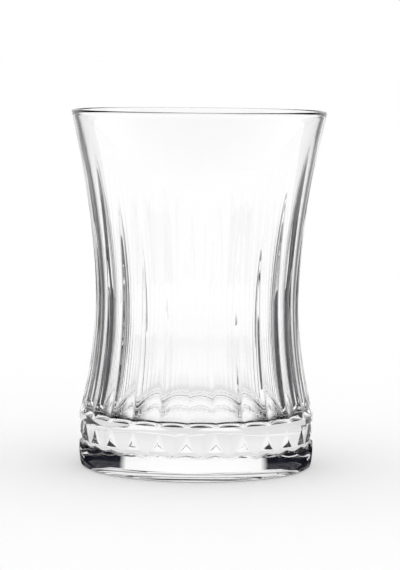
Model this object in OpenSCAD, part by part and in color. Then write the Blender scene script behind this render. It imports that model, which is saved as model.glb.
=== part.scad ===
// Chai glass: one piece of pressed clear glass with a flaring lip, a waist, upright flutes and a band of prisms.
// The origin is the middle of the foot, on the table. +Z is up, and -Y is the front.
// The outside is one surface of upright lines, a few for every flute, and a small prism stands under each rib.
// The space inside and the hollow under the foot are turned shapes, cut out last.

/* [Body] */

// Across the lip, outside
rim_d = 66; // [60:1:72]
// Table to lip
glass_h = 92.4; // [80:1:105]
// Across the ribs at the waist
waist_d = 52.8; // [48:0.5:58]
// Table to waist
waist_z = 44.5; // [36:1:54]
// How the wall flares above the waist: 1 is a straight cone, 2 a parabola
flare_power = 1.65; // [1.3:0.05:2.2]

/* [Glass thickness] */

// Wall at the lip
rim_wall = 1.3; // [1:0.1:1.8]
// Wall beside the inside floor, measured over the ribs
floor_wall = 2.8; // [2.4:0.1:3.6]
// Floor, from the table to its inside
floor_h = 13.4; // [8:0.2:16]
// Radius between the inside floor and the wall
floor_r = 2; // [1:0.5:5]

/* [Foot] */

// Across the skirt, the prisms and the collar, the widest place of the base
base_d = 60.8; // [56:0.5:66]
// How far the foot stands in from the skirt
foot_in = 1.1; // [0.6:0.1:3]
// Height of the rounded heel
heel_h = 3.6; // [2.5:0.1:6]
// Width of the flat ring that stands on the table
ring_w = 6.5; // [3:0.5:10]
// Depth of the shallow hollow inside that ring
hollow_depth = 1.2; // [0.5:0.1:2.5]

/* [Band of prisms] */

// Plain skirt under the lowest tips of the band
skirt_h = 2.4; // [0.8:0.1:3.5]
// How far the skirt's upper edge slopes down outward, as a mould needs
ledge_drop = 0.4; // [0.2:0.1:0.6]
// How far the tip of the flat between two prisms dips below their feet
tip_drop = 0.8; // [0.3:0.1:1.5]
// Height of the band
prism_h = 5.6; // [4:0.1:8]
// Depth of the band, which a prism's peak fills
prism_depth = 0.9; // [0.5:0.1:1.3]
// Height of a prism's peak, as a share of the band's height
peak_share = 0.4; // [0.3:0.05:0.6]
// Width of a prism at its feet, as a share of the pitch of the flutes
foot_share = 0.85; // [0.6:0.05:0.95]

/* [Flutes] */

// Flutes round the glass, and as many prisms under the ribs between them
flutes = 26; // [20:1:32]
// Plain collar between the band and the flutes
collar_h = 1.6; // [0.8:0.1:3]
// Depth of a flute at its lower end
flute_depth = 0.9; // [0.5:0.05:1.2]
// Plain wall between the flutes' upper ends and the lip
plain_h = 6.5; // [3:0.5:14]
// Turn of the nearest flute from the front, toward the right, in degrees
front_turn = 2.5; // [0:0.5:6.5]

/* [Hidden] */

rim_r = rim_d / 2;
waist_r = waist_d / 2;
base_r = base_d / 2;
foot_r = base_r - foot_in;
hollow_r = foot_r - ring_w;
flat_r = base_r - prism_depth;
lip_r = rim_wall / 2;
lip_z = glass_h - lip_r;
inside_z = floor_h + floor_r;
prism_z = heel_h + skirt_h + tip_drop;
prism_top = prism_z + prism_h;
collar_top = prism_top + collar_h;
flute_top = glass_h - plain_h;
pitch = 360 / flutes;

// How far shapes run into each other so that they join
overrun = flute_depth / 10;

// Lines across a flute, and straight steps up a flute, up the plain wall, round a corner and down the inside
flute_lines = 6;
flute_steps = 8;
plain_steps = 2;
corner_steps = 4;
inside_steps = 16;
turned_steps = flutes * flute_lines;

// Evenly spaced values from one to another, with both of them.
function spread(from, to, steps) = [for (i = [0 : steps]) from + (to - from) * i / steps];

// Points of an arc in the section round the point [r, z], from one angle to another.
function arc(r, z, radius, from, to) =
    [for (turn = spread(from, to, corner_steps)) [r + radius * cos(turn), z + radius * sin(turn)]];

// Radius of the outside over the ribs at height z: a parabola below the waist, a gentler flare above it.
function outside_r(z) =
    z < waist_z
        ? waist_r + (base_r - waist_r) * pow((waist_z - z) / (waist_z - collar_top), 2)
        : waist_r + (rim_r - waist_r) * pow((z - waist_z) / (lip_z - waist_z), flare_power);

// Wall thickness over the ribs at height z. It grows evenly from the lip down to the floor.
function wall(z) = rim_wall + (floor_wall - rim_wall) * (lip_z - z) / (lip_z - floor_h);

function inside_r(z) = outside_r(z) - wall(z);

// Depth of the flutes' middles at height z. They fade evenly to nothing at their upper ends.
function depth(z) = flute_depth * (flute_top - z) / (flute_top - collar_top);

// How far a line lies from the middle of its flute: 0 in the middle, 1 on a rib.
function off_middle(line) = abs(line % flute_lines / flute_lines * 2 - 1);

// How much of the flute's depth a line has: all in the middle, none on a rib.
function depth_share(line) = 1 - pow(off_middle(line), 2);

// Radius at a line of the flat that lies under the flute.
function flat_at(line) = flat_r / cos(off_middle(line) * pitch / 2);

// Lower edge of the band at a line. It dips to a tip under the middle of the flute.
function band_z(line) = prism_z - (off_middle(line) == 0 ? tip_drop : 0);

// Half of the section, [radius, height], along one upright line: foot, band, collar, sloping ledge, flute and lip.
function outside_line(line) =
    let (flute_z = collar_top + overrun + flute_depth * depth_share(line))
    concat(
        [[foot_r, 0], [(foot_r + base_r) / 2, heel_h / 4], [base_r, heel_h]],
        [[base_r, band_z(line) - ledge_drop], [flat_at(line), band_z(line)]],
        [[flat_at(line), prism_top], [base_r, prism_top], [base_r, collar_top]],
        [for (z = spread(flute_z, flute_top, flute_steps)) [outside_r(z) - depth(z) * depth_share(line), z]],
        [for (z = spread(flute_top, lip_z, plain_steps)) if (z > flute_top) [outside_r(z), z]],
        [for (point = arc(rim_r - lip_r, lip_z, lip_r, 0, 90)) if (point.y > lip_z) point]
    );

// The whole outside as a solid. Its lines start at the rib to the left of the nearest flute.
module outside() {
    lines = flutes * flute_lines;
    rows = len(outside_line(0));
    points = [for (line = [0 : lines - 1])
        let (turn = (line / flute_lines - 1 / 2) * pitch + front_turn)
        for (point = outside_line(line)) [point.x * sin(turn), -point.x * cos(turn), point.y]];
    sides = [for (line = [0 : lines - 1], row = [0 : rows - 2])
        let (here = line * rows + row, beside = (line + 1) % lines * rows + row)
        [here, here + 1, beside + 1, beside]];
    bottom = [for (line = [0 : lines - 1]) line * rows];
    top = [for (line = [lines - 1 : -1 : 0]) line * rows + rows - 1];
    polyhedron(points = points, faces = concat(sides, [bottom, top]));
}

// The space inside, down from the rounded inner edge of the lip.
module inside() {
    edge_r = lip_r - overrun;
    edge = arc(inside_r(lip_z) + edge_r, lip_z, edge_r, 90, 180);
    rotate_extrude($fn = turned_steps)
        polygon(concat(
            [[0, glass_h + overrun], [edge[0].x, glass_h + overrun]],
            edge,
            [for (z = spread(lip_z, inside_z, inside_steps)) if (z < lip_z) [inside_r(z), z]],
            arc(inside_r(inside_z) - floor_r, inside_z, floor_r, -20, -90),
            [[0, floor_h]]
        ));
}

// The shallow hollow under the foot.
module foot_hollow() {
    translate([0, 0, -overrun])
        cylinder(
            r1 = hollow_r + overrun,
            r2 = hollow_r - hollow_depth,
            h = hollow_depth + overrun,
            $fn = turned_steps
        );
}

// One three-sided prism, drawn toward +X. Its feet, and its top on the ridge between two flats, are sunk
// into the glass, and its peak is free.
module prism() {
    foot_turn = pitch / 2 * foot_share;
    foot = (flat_r - overrun) * [cos(foot_turn), sin(foot_turn)];
    ridge_r = flat_r / cos(pitch / 2);
    polyhedron(
        points = [
            [base_r, 0, prism_h * peak_share],
            [ridge_r - overrun, 0, prism_h + overrun],
            [foot.x, -foot.y, -overrun],
            [foot.x, foot.y, -overrun]
        ],
        faces = [[0, 1, 2], [0, 3, 1], [0, 2, 3], [1, 3, 2]]
    );
}

// A prism under every rib.
module prisms() {
    for (i = [0 : flutes - 1])
        rotate(front_turn + (i + 1 / 2) * pitch - 90)
            translate([0, 0, prism_z])
                prism();
}

module glass() {
    color([0.78, 0.86, 0.88])
        difference() {
            union() {
                outside();
                prisms();
            }
            inside();
            foot_hollow();
        }
}

glass();
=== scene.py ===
"""A chai glass of clear pressed glass on a white floor, lit as glass is: white round it, dark at its corners.

The glass is one closed surface, modelled round its axis ring by ring and then fluted. The band of prisms is
cut out of it afterwards. Lengths are in metres and are scaled from the frame's own height.
"""

import math

import bmesh
import bpy
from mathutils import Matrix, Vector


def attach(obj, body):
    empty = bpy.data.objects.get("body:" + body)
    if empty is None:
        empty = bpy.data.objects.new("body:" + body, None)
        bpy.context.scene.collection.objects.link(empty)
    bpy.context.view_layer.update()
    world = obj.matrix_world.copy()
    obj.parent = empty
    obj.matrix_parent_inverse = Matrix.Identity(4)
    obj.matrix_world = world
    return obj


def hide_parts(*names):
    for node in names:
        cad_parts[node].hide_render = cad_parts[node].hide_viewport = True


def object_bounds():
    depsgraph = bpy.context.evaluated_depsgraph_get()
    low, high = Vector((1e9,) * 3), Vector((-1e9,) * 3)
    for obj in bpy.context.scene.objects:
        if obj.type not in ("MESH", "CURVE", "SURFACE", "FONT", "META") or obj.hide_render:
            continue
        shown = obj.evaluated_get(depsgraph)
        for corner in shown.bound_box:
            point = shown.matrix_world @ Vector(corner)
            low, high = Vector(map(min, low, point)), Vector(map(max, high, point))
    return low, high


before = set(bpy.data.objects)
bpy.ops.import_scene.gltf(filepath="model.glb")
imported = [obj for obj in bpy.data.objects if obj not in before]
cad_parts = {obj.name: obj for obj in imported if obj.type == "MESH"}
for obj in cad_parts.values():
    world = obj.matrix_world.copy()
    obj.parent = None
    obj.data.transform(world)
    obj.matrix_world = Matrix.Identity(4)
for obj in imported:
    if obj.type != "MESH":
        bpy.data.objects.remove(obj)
CAD_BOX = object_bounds()

# Sizes of the glass: _R is a radius, _H a height, _Z a height over the table

GLASS_H = CAD_BOX[1][2]
MM = GLASS_H / 92.4
RIM_R = CAD_BOX[1][0]
WAIST_R = 26.4 * MM
WAIST_Z = 44.5 * MM
FLARE_POWER = 1.65
BASE_R = 30.4 * MM
FOOT_R = 29.3 * MM
HEEL_H = 3.6 * MM
# Points of the heel's curve: how far out and how far up they lie, as shares of its width and its height
HEEL_SHARES = [(0.55, 0.12), (0.75, 0.32), (0.9, 0.65)]
HOLLOW_R = 22.8 * MM
HOLLOW_DEPTH = 1.2 * MM
# Radius of the hollow's innermost ring, and the share of its depth that it has in the middle of its slope
HOLLOW_MIDDLE_R = HOLLOW_R * 0.4
HOLLOW_SLOPE_SHARE = 0.7
RIM_WALL = 1.3 * MM
FLOOR_WALL = 2.8 * MM
FLOOR_H = 13.4 * MM
FLOOR_R = 2.0 * MM
LIP_R = RIM_WALL / 2
LIP_Z = GLASS_H - LIP_R

# Flutes, the nearest of which is turned to the right of the front by FRONT_TURN degrees
FLUTES = 26
PITCH = 360 / FLUTES
FRONT_TURN = 2.5
FLUTE_DEPTH = 0.9 * MM
FLUTE_TOP = GLASS_H - 6.5 * MM
# Place across a flute, from 0 in its middle to 1 on a rib, at which its hollow turns into the rounded rib
SCOOP = 0.9
# Height over the collar up to which the rings are lifted, to round the flutes' lower ends
LIFT_H = 8 * MM

# Band of prisms
PRISM_Z = 6.8 * MM
PRISM_H = 5.6 * MM
PRISM_TOP = PRISM_Z + PRISM_H
PRISM_DEPTH = 0.9 * MM
PEAK_SHARE = 0.4
PEAK_Z = PRISM_Z + PEAK_SHARE * PRISM_H
# Width of a prism at its feet, as a share of the pitch
FOOT_SHARE = 0.85
# How far the tip of the flat between two prisms dips, and how far the ledge under the band slopes down
TIP_DROP = 0.8 * MM
LEDGE_DROP = 0.4 * MM
COLLAR_TOP = PRISM_TOP + 1.6 * MM
# Radius of the flats in their middles, and on the ridge between two of them
FLAT_R = BASE_R - PRISM_DEPTH
RIDGE_R = FLAT_R / math.cos(math.radians(PITCH / 2))
# How far outward the band's cut and the slope of its ledge run, as a multiple of the band's depth
CUT_REACH = 4
# How much larger than its free faces a prism is made, so that it runs on into the glass
PRISM_OVERRUN = 1.3

# Rounding of small edges, and how far a prism's top and peak are sunk in
EASE = 0.15 * MM
SUNK = EASE / 3
# How near to a place a point lies that is taken to be there, in metres and across a flute
TOUCH = EASE / 10
ON_LINE = 0.01

# Upright lines across a flute, and steps of the flutes, the plain wall, the lip, the inside and its corner
LINES = 16
FLUTE_STEPS = 40
PLAIN_STEPS = 5
LIP_STEPS = 8
INSIDE_STEPS = 40
CORNER_STEPS = 10

# Edges flatter than this, in degrees, are shaded smooth
SMOOTH_ANGLE = 35


# Small helpers for modelling

def deselect_all():
    bpy.ops.object.select_all(action="DESELECT")


def start_edit():
    bpy.ops.object.mode_set(mode="EDIT")
    bpy.ops.mesh.select_mode(type="VERT")


def end_edit():
    bpy.ops.object.mode_set(mode="OBJECT")


def choose_whole_mesh():
    bpy.ops.mesh.select_all(action="SELECT")


def choose_vertices(test):
    """Selects the vertices of the mesh in edit mode that pass the test."""
    shape = bmesh.from_edit_mesh(bpy.context.object.data)
    for vertex in shape.verts:
        vertex.select = test(vertex)
    shape.select_flush_mode()
    bmesh.update_edit_mesh(bpy.context.object.data)


def only(piece):
    """Makes the piece the one that is selected and active."""
    deselect_all()
    piece.select_set(True)
    bpy.context.view_layer.objects.active = piece


def settle(piece):
    """Puts the piece's place, turn and scale into its mesh."""
    only(piece)
    bpy.ops.object.transform_apply(location=True, rotation=True, scale=True)


def spread(start, end, steps):
    """Evenly spaced values from start to end, with both of them."""
    return [start + (end - start) * i / steps for i in range(steps + 1)]


def arc(r, z, radius, start, end, steps):
    """Points (radius, height) of an arc in the section."""
    return [
        (r + radius * math.cos(math.radians(a)), z + radius * math.sin(math.radians(a)))
        for a in spread(start, end, steps)
    ]


# Form of the glass

def outside_r(z):
    """Radius over the ribs: a parabola below the waist, a gentler flare above it."""
    if z < WAIST_Z:
        return WAIST_R + (BASE_R - WAIST_R) * ((WAIST_Z - z) / (WAIST_Z - COLLAR_TOP)) ** 2
    return WAIST_R + (RIM_R - WAIST_R) * ((z - WAIST_Z) / (LIP_Z - WAIST_Z)) ** FLARE_POWER


def inside_r(z):
    """Radius of the inside, whose wall thickens from the lip down to the floor."""
    return outside_r(z) - RIM_WALL - (FLOOR_WALL - RIM_WALL) * (LIP_Z - z) / (LIP_Z - FLOOR_H)


def flute_depth(z):
    """Depth of the flutes' middles, which fades to nothing at their upper ends."""
    return FLUTE_DEPTH * max(0, (FLUTE_TOP - z) / (FLUTE_TOP - COLLAR_TOP))


def flute_share(off):
    """How much of its depth a flute has at a place off its middle."""
    if off < SCOOP:
        return 1 - off ** 2 / SCOOP
    return (1 - off) ** 2 / (1 - SCOOP)


def base_section():
    """From the hollow under the foot to the collar, as (radius, height)."""
    hollow = [
        (HOLLOW_MIDDLE_R, HOLLOW_DEPTH),
        (HOLLOW_R - 2 * HOLLOW_DEPTH, HOLLOW_DEPTH),
        (HOLLOW_R - HOLLOW_DEPTH, HOLLOW_DEPTH * HOLLOW_SLOPE_SHARE),
        (HOLLOW_R, EASE),
    ]
    foot = [(HOLLOW_R + EASE, 0), (FOOT_R - 2 * EASE, 0), (FOOT_R + EASE, EASE)]
    heel = [(FOOT_R + (BASE_R - FOOT_R) * out, HEEL_H * up) for out, up in HEEL_SHARES]
    skirt = [(BASE_R, HEEL_H), (BASE_R, COLLAR_TOP - 2 * EASE), (BASE_R, COLLAR_TOP)]
    return hollow + foot + heel + skirt


def inside_section():
    """From the lip down the inside to the middle of the floor, as (radius, height)."""
    corner_z = FLOOR_H + FLOOR_R
    lip = arc(outside_r(LIP_Z) - LIP_R, LIP_Z, LIP_R, 20, 180, LIP_STEPS)
    wall = [(inside_r(z), z) for z in spread(LIP_Z, corner_z, INSIDE_STEPS)[1:]]
    corner = arc(inside_r(corner_z) - FLOOR_R, corner_z, FLOOR_R, -8, -90, CORNER_STEPS)
    return lip + wall + corner + [(FLOOR_R, FLOOR_H)]


def raise_ring(radius, height):
    """Extrudes the selected ring to a new height and radius. Its flutes are pressed in later."""
    ring = [v.co.copy() for v in bmesh.from_edit_mesh(bpy.context.object.data).verts if v.select]
    was_r = max(math.hypot(place.x, place.y) for place in ring)
    bpy.ops.mesh.extrude_edges_move(TRANSFORM_OT_translate={"value": (0, 0, height - ring[0].z)})
    bpy.ops.transform.resize(value=(radius / was_r, radius / was_r, 1), center_override=(0, 0, height))


def off_middle(place):
    """How far round a place lies from the middle of its flute: 0 in the middle, 1 on a rib."""
    turn = (math.degrees(math.atan2(place.x, -place.y)) - FRONT_TURN) / PITCH
    return 2 * abs(turn - round(turn))


def press_flutes(heights):
    """Presses the flutes into the wall's rings: all of the depth in a flute's middle, none on its ribs."""
    for z in heights:
        for line in range(LINES // 2):
            off = 2 * line / LINES
            share = flute_share(off)
            inward = 1 - flute_depth(z) * share / outside_r(z)
            lift = FLUTE_DEPTH * share * max(0, 1 - (z - COLLAR_TOP) / LIFT_H)
            choose_vertices(
                lambda v: abs(v.co.z - z) < TOUCH
                and math.hypot(v.co.x, v.co.y) > outside_r(z) - TOUCH
                and abs(off_middle(v.co) - off) < ON_LINE
            )
            bpy.ops.transform.resize(value=(inward, inward, 1), center_override=(0, 0, z))
            bpy.ops.transform.translate(value=(0, 0, lift))


def close_hollow():
    """Closes the innermost ring of the hollow with one face."""
    choose_vertices(
        lambda v: math.hypot(v.co.x, v.co.y) < HOLLOW_MIDDLE_R + EASE
        and v.co.z < HOLLOW_DEPTH + EASE
    )
    bpy.ops.mesh.edge_face_add()


def make_body():
    """The glass before its band is cut: one closed surface from the foot's hollow to the inside floor."""
    deselect_all()
    base = base_section()
    bpy.ops.mesh.primitive_circle_add(
        vertices=FLUTES * LINES,
        radius=base[0][0],
        location=(0, 0, base[0][1]),
        rotation=(0, 0, math.radians(FRONT_TURN)),
    )
    body = bpy.context.object
    body.name = "glass_body"
    settle(body)
    start_edit()
    choose_whole_mesh()
    for radius, height in base[1:]:
        raise_ring(radius, height)
    flute_heights = spread(COLLAR_TOP + EASE, FLUTE_TOP, FLUTE_STEPS)
    plain_heights = spread(FLUTE_TOP, LIP_Z, PLAIN_STEPS)[1:]
    for z in flute_heights + plain_heights:
        raise_ring(outside_r(z), z)
    for radius, height in inside_section():
        raise_ring(radius, height)
    bpy.ops.mesh.edge_face_add()
    close_hollow()
    press_flutes(flute_heights[:-1])
    choose_whole_mesh()
    bpy.ops.mesh.normals_make_consistent(inside=False)
    end_edit()
    return body


def make_ring_cutter():
    """The ring that is cut for the band: it leaves a flat under each flute, with a tip at its lower edge."""
    deselect_all()
    bpy.ops.mesh.primitive_circle_add(
        vertices=2 * FLUTES,
        radius=RIDGE_R,
        location=(0, 0, PRISM_TOP),
        rotation=(0, 0, math.radians(FRONT_TURN)),
    )
    cutter = bpy.context.object
    settle(cutter)
    start_edit()
    choose_vertices(lambda v: off_middle(v.co) < ON_LINE)
    inward = FLAT_R / RIDGE_R
    bpy.ops.transform.resize(value=(inward, inward, 1), center_override=(0, 0, PRISM_TOP))
    choose_whole_mesh()
    outer = FLAT_R + CUT_REACH * PRISM_DEPTH
    for radius, height in [(outer, PRISM_TOP), (outer, PRISM_Z - CUT_REACH * LEDGE_DROP), (RIDGE_R, PRISM_Z)]:
        raise_ring(radius, height)
    choose_vertices(lambda v: math.hypot(v.co.x, v.co.y) < BASE_R)
    bpy.ops.mesh.bridge_edge_loops()
    choose_vertices(lambda v: v.co.z < PEAK_Z and off_middle(v.co) < ON_LINE)
    bpy.ops.transform.translate(value=(0, 0, -TIP_DROP))
    choose_whole_mesh()
    bpy.ops.mesh.normals_make_consistent(inside=False)
    end_edit()
    return cutter


def make_prism():
    """One prism, drawn toward +X. Its three free faces are run on into the glass, so that it joins well."""
    deselect_all()
    bpy.ops.mesh.primitive_cone_add(
        vertices=3,
        radius1=PRISM_H / 2,
        depth=PRISM_DEPTH * 2,
        location=(FLAT_R, 0, PRISM_Z + PRISM_H / 2),
        rotation=(0, math.radians(90), 0),
    )
    prism = bpy.context.object
    settle(prism)
    foot_turn = math.radians(PITCH / 2 * FOOT_SHARE)
    foot_r = FLAT_R / math.cos(math.radians(PITCH / 2 * (1 - FOOT_SHARE)))
    # The prism's two feet with its top between them, and its peak
    places = [
        (foot_r * math.cos(foot_turn), -foot_r * math.sin(foot_turn), PRISM_Z),
        (RIDGE_R - SUNK, 0, PRISM_TOP),
        (foot_r * math.cos(foot_turn), foot_r * math.sin(foot_turn), PRISM_Z),
        (BASE_R - SUNK, 0, PEAK_Z),
    ]
    start_edit()
    corners = [v.co.copy() for v in bmesh.from_edit_mesh(prism.data).verts]
    corners.sort(key=lambda co: (co.x > FLAT_R, co.y))
    for corner, place in zip(corners, places):
        choose_vertices(lambda v: (v.co - corner).length < TOUCH)
        bpy.ops.transform.translate(value=[to - at for to, at in zip(place, corner)])
    choose_whole_mesh()
    bpy.ops.transform.resize(value=[PRISM_OVERRUN] * 3, center_override=places[3])
    bpy.ops.mesh.normals_make_consistent(inside=False)
    end_edit()
    return prism


def repeat_round(piece, first_turn):
    """Copies the piece round the glass, one for each flute, and joins the copies."""
    copies = []
    for i in range(FLUTES):
        copy = piece.copy()
        copy.data = piece.data.copy()
        bpy.context.collection.objects.link(copy)
        copy.rotation_euler = (0, 0, math.radians(first_turn + i * PITCH))
        copies.append(copy)
    bpy.data.objects.remove(piece)
    deselect_all()
    for copy in copies:
        copy.select_set(True)
    bpy.context.view_layer.objects.active = copies[0]
    bpy.ops.object.transform_apply(location=True, rotation=True, scale=True)
    bpy.ops.object.join()
    return bpy.context.object


def cut_out(body, other):
    """Cuts the other shape out of the body and removes it."""
    only(body)
    step = body.modifiers.new("cut", "BOOLEAN")
    step.operation = "DIFFERENCE"
    step.solver = "EXACT"
    step.object = other
    bpy.ops.object.modifier_apply(modifier=step.name)
    bpy.data.objects.remove(other)


def make_glass():
    """The prisms are first cut out of the ring, so that its cut leaves them standing on the glass."""
    cutter = make_ring_cutter()
    cut_out(cutter, repeat_round(make_prism(), FRONT_TURN - 90 + PITCH / 2))
    body = make_body()
    cut_out(body, cutter)
    start_edit()
    choose_whole_mesh()
    bpy.ops.mesh.remove_doubles(threshold=EASE / 20)
    bpy.ops.mesh.normals_make_consistent(inside=False)
    end_edit()
    bpy.ops.object.shade_smooth_by_angle(angle=math.radians(SMOOTH_ANGLE))
    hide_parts("glass")
    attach(body, "root")
    return body


# Materials

GLASS_INDEX = 1.5
# The mould's slight waves: how many come to a metre, how strongly they show, and their height in metres
WAVES_TO_A_METRE = 60
WAVE_STRENGTH = 0.2
WAVE_HEIGHT = 0.0001


def glass_material():
    """Clear pressed glass, with the slight waves that a mould leaves."""
    material = bpy.data.materials.new("clear_pressed_glass")
    material.use_nodes = True
    nodes, links = material.node_tree.nodes, material.node_tree.links
    shader = nodes["Principled BSDF"]
    shader.inputs["Base Color"].default_value = (1, 1, 1, 1)
    shader.inputs["Roughness"].default_value = 0.0
    shader.inputs["IOR"].default_value = GLASS_INDEX
    shader.inputs["Transmission Weight"].default_value = 1.0
    place = nodes.new("ShaderNodeTexCoord")
    waves = nodes.new("ShaderNodeTexNoise")
    waves.inputs["Scale"].default_value = WAVES_TO_A_METRE
    waves.inputs["Detail"].default_value = 1
    bump = nodes.new("ShaderNodeBump")
    bump.inputs["Strength"].default_value = WAVE_STRENGTH
    bump.inputs["Distance"].default_value = WAVE_HEIGHT
    links.new(place.outputs["Object"], waves.inputs["Vector"])
    links.new(waves.outputs["Fac"], bump.inputs["Height"])
    links.new(bump.outputs["Normal"], shader.inputs["Normal"])
    return material


def plain_material(name, colour):
    """Matt, and of one colour."""
    material = bpy.data.materials.new(name)
    material.use_nodes = True
    shader = material.node_tree.nodes["Principled BSDF"]
    shader.inputs["Base Color"].default_value = (*colour, 1)
    shader.inputs["Roughness"].default_value = 0.9
    shader.inputs["Specular IOR Level"].default_value = 0.0
    return material


# Studio

FLOOR_SIZE = 60
FLOOR_COLOUR = (1, 1, 1)
CARD_COLOUR = (0.012, 0.012, 0.020)

# The floor as the glass shows it: distance from the axis, brightness. The shadow of the glass greys a ring.
FLOOR_GREYS = [(0.040, 0.95), (0.075, 0.76), (0.110, 0.76), (0.170, 1.0)]

# Painted shade: left and right of the glass that ground has a dark patch. The distances to the side between
# which it starts, those from the axis between which it ends, and how far it reaches to the front and the back
DARK_START = (0.013, 0.022)
DARK_END = (0.080, 0.100)
DARK_REACH = (0.030, 0.050)

# Under the front of the foot, painted shadow in a dark arc: the distances from the axis between which it
# starts, those between which it ends, and the places, measured toward the back, between which it thins out
ARC_START = (0.021, 0.024)
ARC_END = (0.029, 0.036)
ARC_BACK = (-0.015, -0.005)

# Heights over the horizon, in degrees, between which the white behind the glass ends, as the glass shows it,
# and between which the light overhead begins
BACKDROP_TOP = (15, 25)
OVERHEAD_EDGE = (40, 50)

# Each upright card's distance from the glass, the directions that it spans, in degrees from straight behind,
# and the heights of its lower and upper edges
CARDS = [
    (0.30, 20, 80, 0, 0.08),
    (0.30, -80, -22, 0, 0.08),
    (0.40, 110, 140, 0.026, 0.15),
    (0.40, -140, -110, 0.026, 0.15),
]
# Distances from a card's middle, as shares of its width, between which it thins out toward its sides
CARD_FADE = (0.44, 0.50)


def calculate(tree, operation, *values):
    """A maths node. Each of its values is a number or another node's output."""
    node = tree.nodes.new("ShaderNodeMath")
    node.operation = operation
    for socket, value in zip(node.inputs, values):
        if isinstance(value, (int, float)):
            socket.default_value = value
        else:
            tree.links.new(value, socket)
    return node.outputs["Value"]


def fade(tree, value, start, end):
    """1 up to the start, evenly down to 0 at the end."""
    node = tree.nodes.new("ShaderNodeMapRange")
    tree.links.new(value, node.inputs["Value"])
    node.inputs["From Min"].default_value = start
    node.inputs["From Max"].default_value = end
    node.inputs["To Min"].default_value = 1
    node.inputs["To Max"].default_value = 0
    return node.outputs["Result"]


def axes_of(tree, place):
    """The outputs X, Y and Z of a place."""
    node = tree.nodes.new("ShaderNodeSeparateXYZ")
    tree.links.new(place, node.inputs["Vector"])
    return node.outputs


def seen_in_glass(tree):
    """1 for what the camera sees in and through the glass, 0 for all else, so that the floor stays lit."""
    ray = tree.nodes.new("ShaderNodeLightPath")
    straight = calculate(tree, "LESS_THAN", ray.outputs["Diffuse Depth"], 0.5)
    by_glass = calculate(tree, "MAXIMUM", ray.outputs["Is Transmission Ray"], ray.outputs["Is Glossy Ray"])
    return calculate(tree, "MULTIPLY", by_glass, straight)


def painted_ground_shade(tree, distance, axes):
    """1 where shade is painted on the ground: left and right of the glass, and a painted shadow arc under its
    foot.
    """
    middle = fade(tree, calculate(tree, "ABSOLUTE", axes["X"]), *DARK_START)
    near = fade(tree, distance, *DARK_END)
    beside = fade(tree, calculate(tree, "ABSOLUTE", axes["Y"]), *DARK_REACH)
    # Near less middle is below 0 only far in front and far behind, where beside is 0
    patches = calculate(tree, "MULTIPLY", calculate(tree, "SUBTRACT", near, middle), beside)
    ring = calculate(tree, "SUBTRACT", fade(tree, distance, *ARC_END), fade(tree, distance, *ARC_START))
    front_arc = calculate(tree, "MULTIPLY", ring, fade(tree, axes["Y"], *ARC_BACK))
    return calculate(tree, "MAXIMUM", patches, front_arc)


def ground_brightness(tree):
    """Greys that change with the distance from the glass, with a painted shadow ring, less where shade is
    painted.
    """
    place = tree.nodes.new("ShaderNodeTexCoord").outputs["Object"]
    length = tree.nodes.new("ShaderNodeVectorMath")
    length.operation = "LENGTH"
    tree.links.new(place, length.inputs[0])
    distance = length.outputs["Value"]
    axes = axes_of(tree, place)
    widest = FLOOR_GREYS[-1][0]
    greys = tree.nodes.new("ShaderNodeValToRGB")
    while len(greys.color_ramp.elements) < len(FLOOR_GREYS):
        greys.color_ramp.elements.new(0.5)
    for element, (radius, grey) in zip(greys.color_ramp.elements, FLOOR_GREYS):
        element.position = radius / widest
        element.color = (grey, grey, grey, 1)
    tree.links.new(calculate(tree, "DIVIDE", distance, widest), greys.inputs["Fac"])
    # Painted shade: dark patches beside the glass and a painted shadow under the front of its foot
    bright = calculate(tree, "SUBTRACT", 1, painted_ground_shade(tree, distance, axes))
    return calculate(tree, "MULTIPLY", greys.outputs["Color"], bright)


def floor_material():
    """Matt white for the camera. The glass shows it as a bright ground with painted shade: a shadow ring and
    dark places.
    """
    material = plain_material("pale_floor", FLOOR_COLOUR)
    tree = material.node_tree
    ground = tree.nodes.new("ShaderNodeEmission")
    mix = tree.nodes.new("ShaderNodeMixShader")
    tree.links.new(ground_brightness(tree), ground.inputs["Color"])
    tree.links.new(seen_in_glass(tree), mix.inputs[0])
    tree.links.new(tree.nodes["Principled BSDF"].outputs["BSDF"], mix.inputs[1])
    tree.links.new(ground.outputs["Emission"], mix.inputs[2])
    tree.links.new(mix.outputs["Shader"], tree.nodes["Material Output"].inputs["Surface"])
    return material


def make_floor():
    deselect_all()
    bpy.ops.mesh.primitive_plane_add(size=FLOOR_SIZE)
    floor = bpy.context.object
    floor.name = "floor"
    floor.data.materials.append(floor_material())


def card_material():
    """Matt, nearly black and a little blue, and thinner toward the left and right edges."""
    material = plain_material("dark_card", CARD_COLOUR)
    tree = material.node_tree
    across = axes_of(tree, tree.nodes.new("ShaderNodeTexCoord").outputs["Object"])["X"]
    thickness = fade(tree, calculate(tree, "ABSOLUTE", across), *CARD_FADE)
    tree.links.new(thickness, tree.nodes["Principled BSDF"].inputs["Alpha"])
    return material


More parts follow.
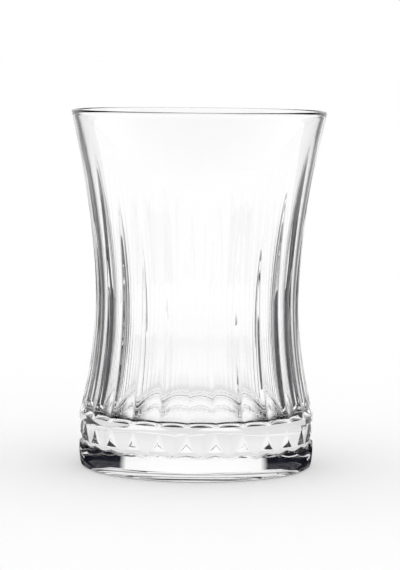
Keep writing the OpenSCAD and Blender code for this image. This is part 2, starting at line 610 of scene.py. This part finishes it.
def make_cards():
    """Dark cards at the corners, seen through the glass alone. They draw its edges and ribs dark."""
    dark = card_material()
    for distance, start, end, bottom, top in CARDS:
        turn = math.radians((start + end) / 2)
        width = 2 * distance * math.tan(math.radians(end - start) / 2)
        deselect_all()
        bpy.ops.mesh.primitive_plane_add(size=1)
        card = bpy.context.object
        card.name = f"card_{start}"
        card.scale = (width, top - bottom, 1)
        card.rotation_euler = (math.radians(90), 0, turn)
        card.location = (-distance * math.sin(turn), distance * math.cos(turn), (bottom + top) / 2)
        card.data.materials.append(dark)
        card.visible_camera = False
        card.visible_diffuse = False
        card.visible_glossy = False
        card.visible_shadow = False


def make_world():
    """White all round. The glass shows it with a dark belt between the backdrop and the light overhead."""
    world = bpy.data.worlds.new("white_room")
    bpy.context.scene.world = world
    world.use_nodes = True
    tree = world.node_tree
    background = tree.nodes["Background"]
    background.inputs["Strength"].default_value = 1.0
    up = axes_of(tree, tree.nodes.new("ShaderNodeTexCoord").outputs["Generated"])["Z"]
    backdrop = fade(tree, up, *(math.sin(math.radians(a)) for a in BACKDROP_TOP))
    below_lamp = fade(tree, up, *(math.sin(math.radians(a)) for a in OVERHEAD_EDGE))
    belt = calculate(tree, "SUBTRACT", below_lamp, backdrop)
    dark = calculate(tree, "MULTIPLY", belt, seen_in_glass(tree))
    tree.links.new(calculate(tree, "SUBTRACT", 1, dark), background.inputs["Color"])


# Camera

CAMERA_DISTANCE = 0.666
CAMERA_Z = 0.107
AIM_Z = 0.047
CAMERA_ROLL = -0.6
# Focal length and height of the photograph, in its pixels, and the sensor's longer side in millimetres
FOCAL_PIXELS = 2573
PICTURE_H = 570
SENSOR = 36


def make_camera():
    """In front of the glass and a little above it, at the photograph's distance and slight roll."""
    data = bpy.data.cameras.new("camera")
    data.sensor_width = SENSOR
    data.lens = FOCAL_PIXELS / PICTURE_H * SENSOR
    camera = bpy.data.objects.new("camera", data)
    bpy.context.collection.objects.link(camera)
    tilt = math.degrees(math.atan2(CAMERA_Z - AIM_Z, CAMERA_DISTANCE))
    camera.location = (0, -CAMERA_DISTANCE, CAMERA_Z)
    camera.rotation_euler = [math.radians(a) for a in (90 - tilt, CAMERA_ROLL, 0)]
    bpy.context.scene.camera = camera


# Enough for light to pass through the walls of the glass and to be mirrored inside them
BOUNCES = 24

glass = make_glass()
glass.data.materials.clear()
glass.data.materials.append(glass_material())
make_floor()
make_cards()
make_world()
make_camera()
bpy.context.scene.view_settings.view_transform = "Standard"
bpy.context.scene.cycles.max_bounces = BOUNCES
bpy.context.scene.cycles.transmission_bounces = BOUNCES

bpy.context.view_layer.update()
